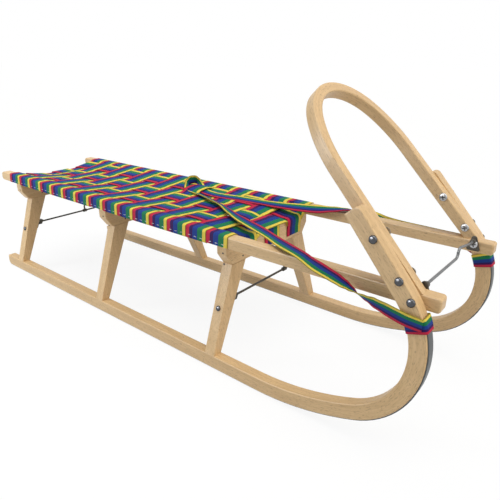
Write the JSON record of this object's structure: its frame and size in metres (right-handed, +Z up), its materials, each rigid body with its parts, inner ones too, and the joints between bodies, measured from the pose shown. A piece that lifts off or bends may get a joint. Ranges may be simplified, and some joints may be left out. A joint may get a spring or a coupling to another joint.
{
  "type": "wooden sled with a webbing seat",
  "caption": "Wooden sled with bent runners on steel soles, splayed legs, a bent front bow, a woven striped webbing seat and a webbing tow strap.",
  "frame": {"origin": "on the snow under the middle of the sled", "axes": "+X forward to the nose, +Y to the sled's left, +Z up"},
  "size_m": [1.2214, 0.3549, 0.5158],
  "materials": {
    "wood": "clear lacquered beech",
    "sole_steel": "bare strip steel",
    "brace_steel": "dark coated",
    "webbing": "woven webbing with lengthwise stripes of several colours"
  },
  "bodies": {
    "root": {"runner_right": "wood", "runner_left": "wood", "seat_rail_right": "wood", "seat_rail_left": "wood", "front_bow": "wood", "crossbar_rear": "wood", "crossbar_middle": "wood", "crossbar_front": "wood", "leg_rear_right": "wood", "leg_rear_left": "wood", "leg_middle_right": "wood", "leg_middle_left": "wood", "leg_front_right": "wood", "leg_front_left": "wood", "sole_right": "sole_steel", "sole_left": "sole_steel", "brace_wire_rear_right": "brace_steel", "brace_wire_rear_left": "brace_steel", "brace_wire_front_right": "brace_steel", "brace_wire_front_left": "brace_steel", "brace_wire_nose": "brace_steel", "brace_bracket_rear_right": "brace_steel", "brace_bracket_rear_left": "brace_steel", "brace_bracket_front_right": "brace_steel", "brace_bracket_front_left": "brace_steel", "brace_bracket_nose_right": "brace_steel", "brace_bracket_nose_left": "brace_steel", "seat_straps_across": "webbing", "seat_straps_along": "webbing", "tow_strap": "webbing", "tow_loop_right": "webbing", "tow_loop_left": "webbing"}
  },
  "joints": []
}
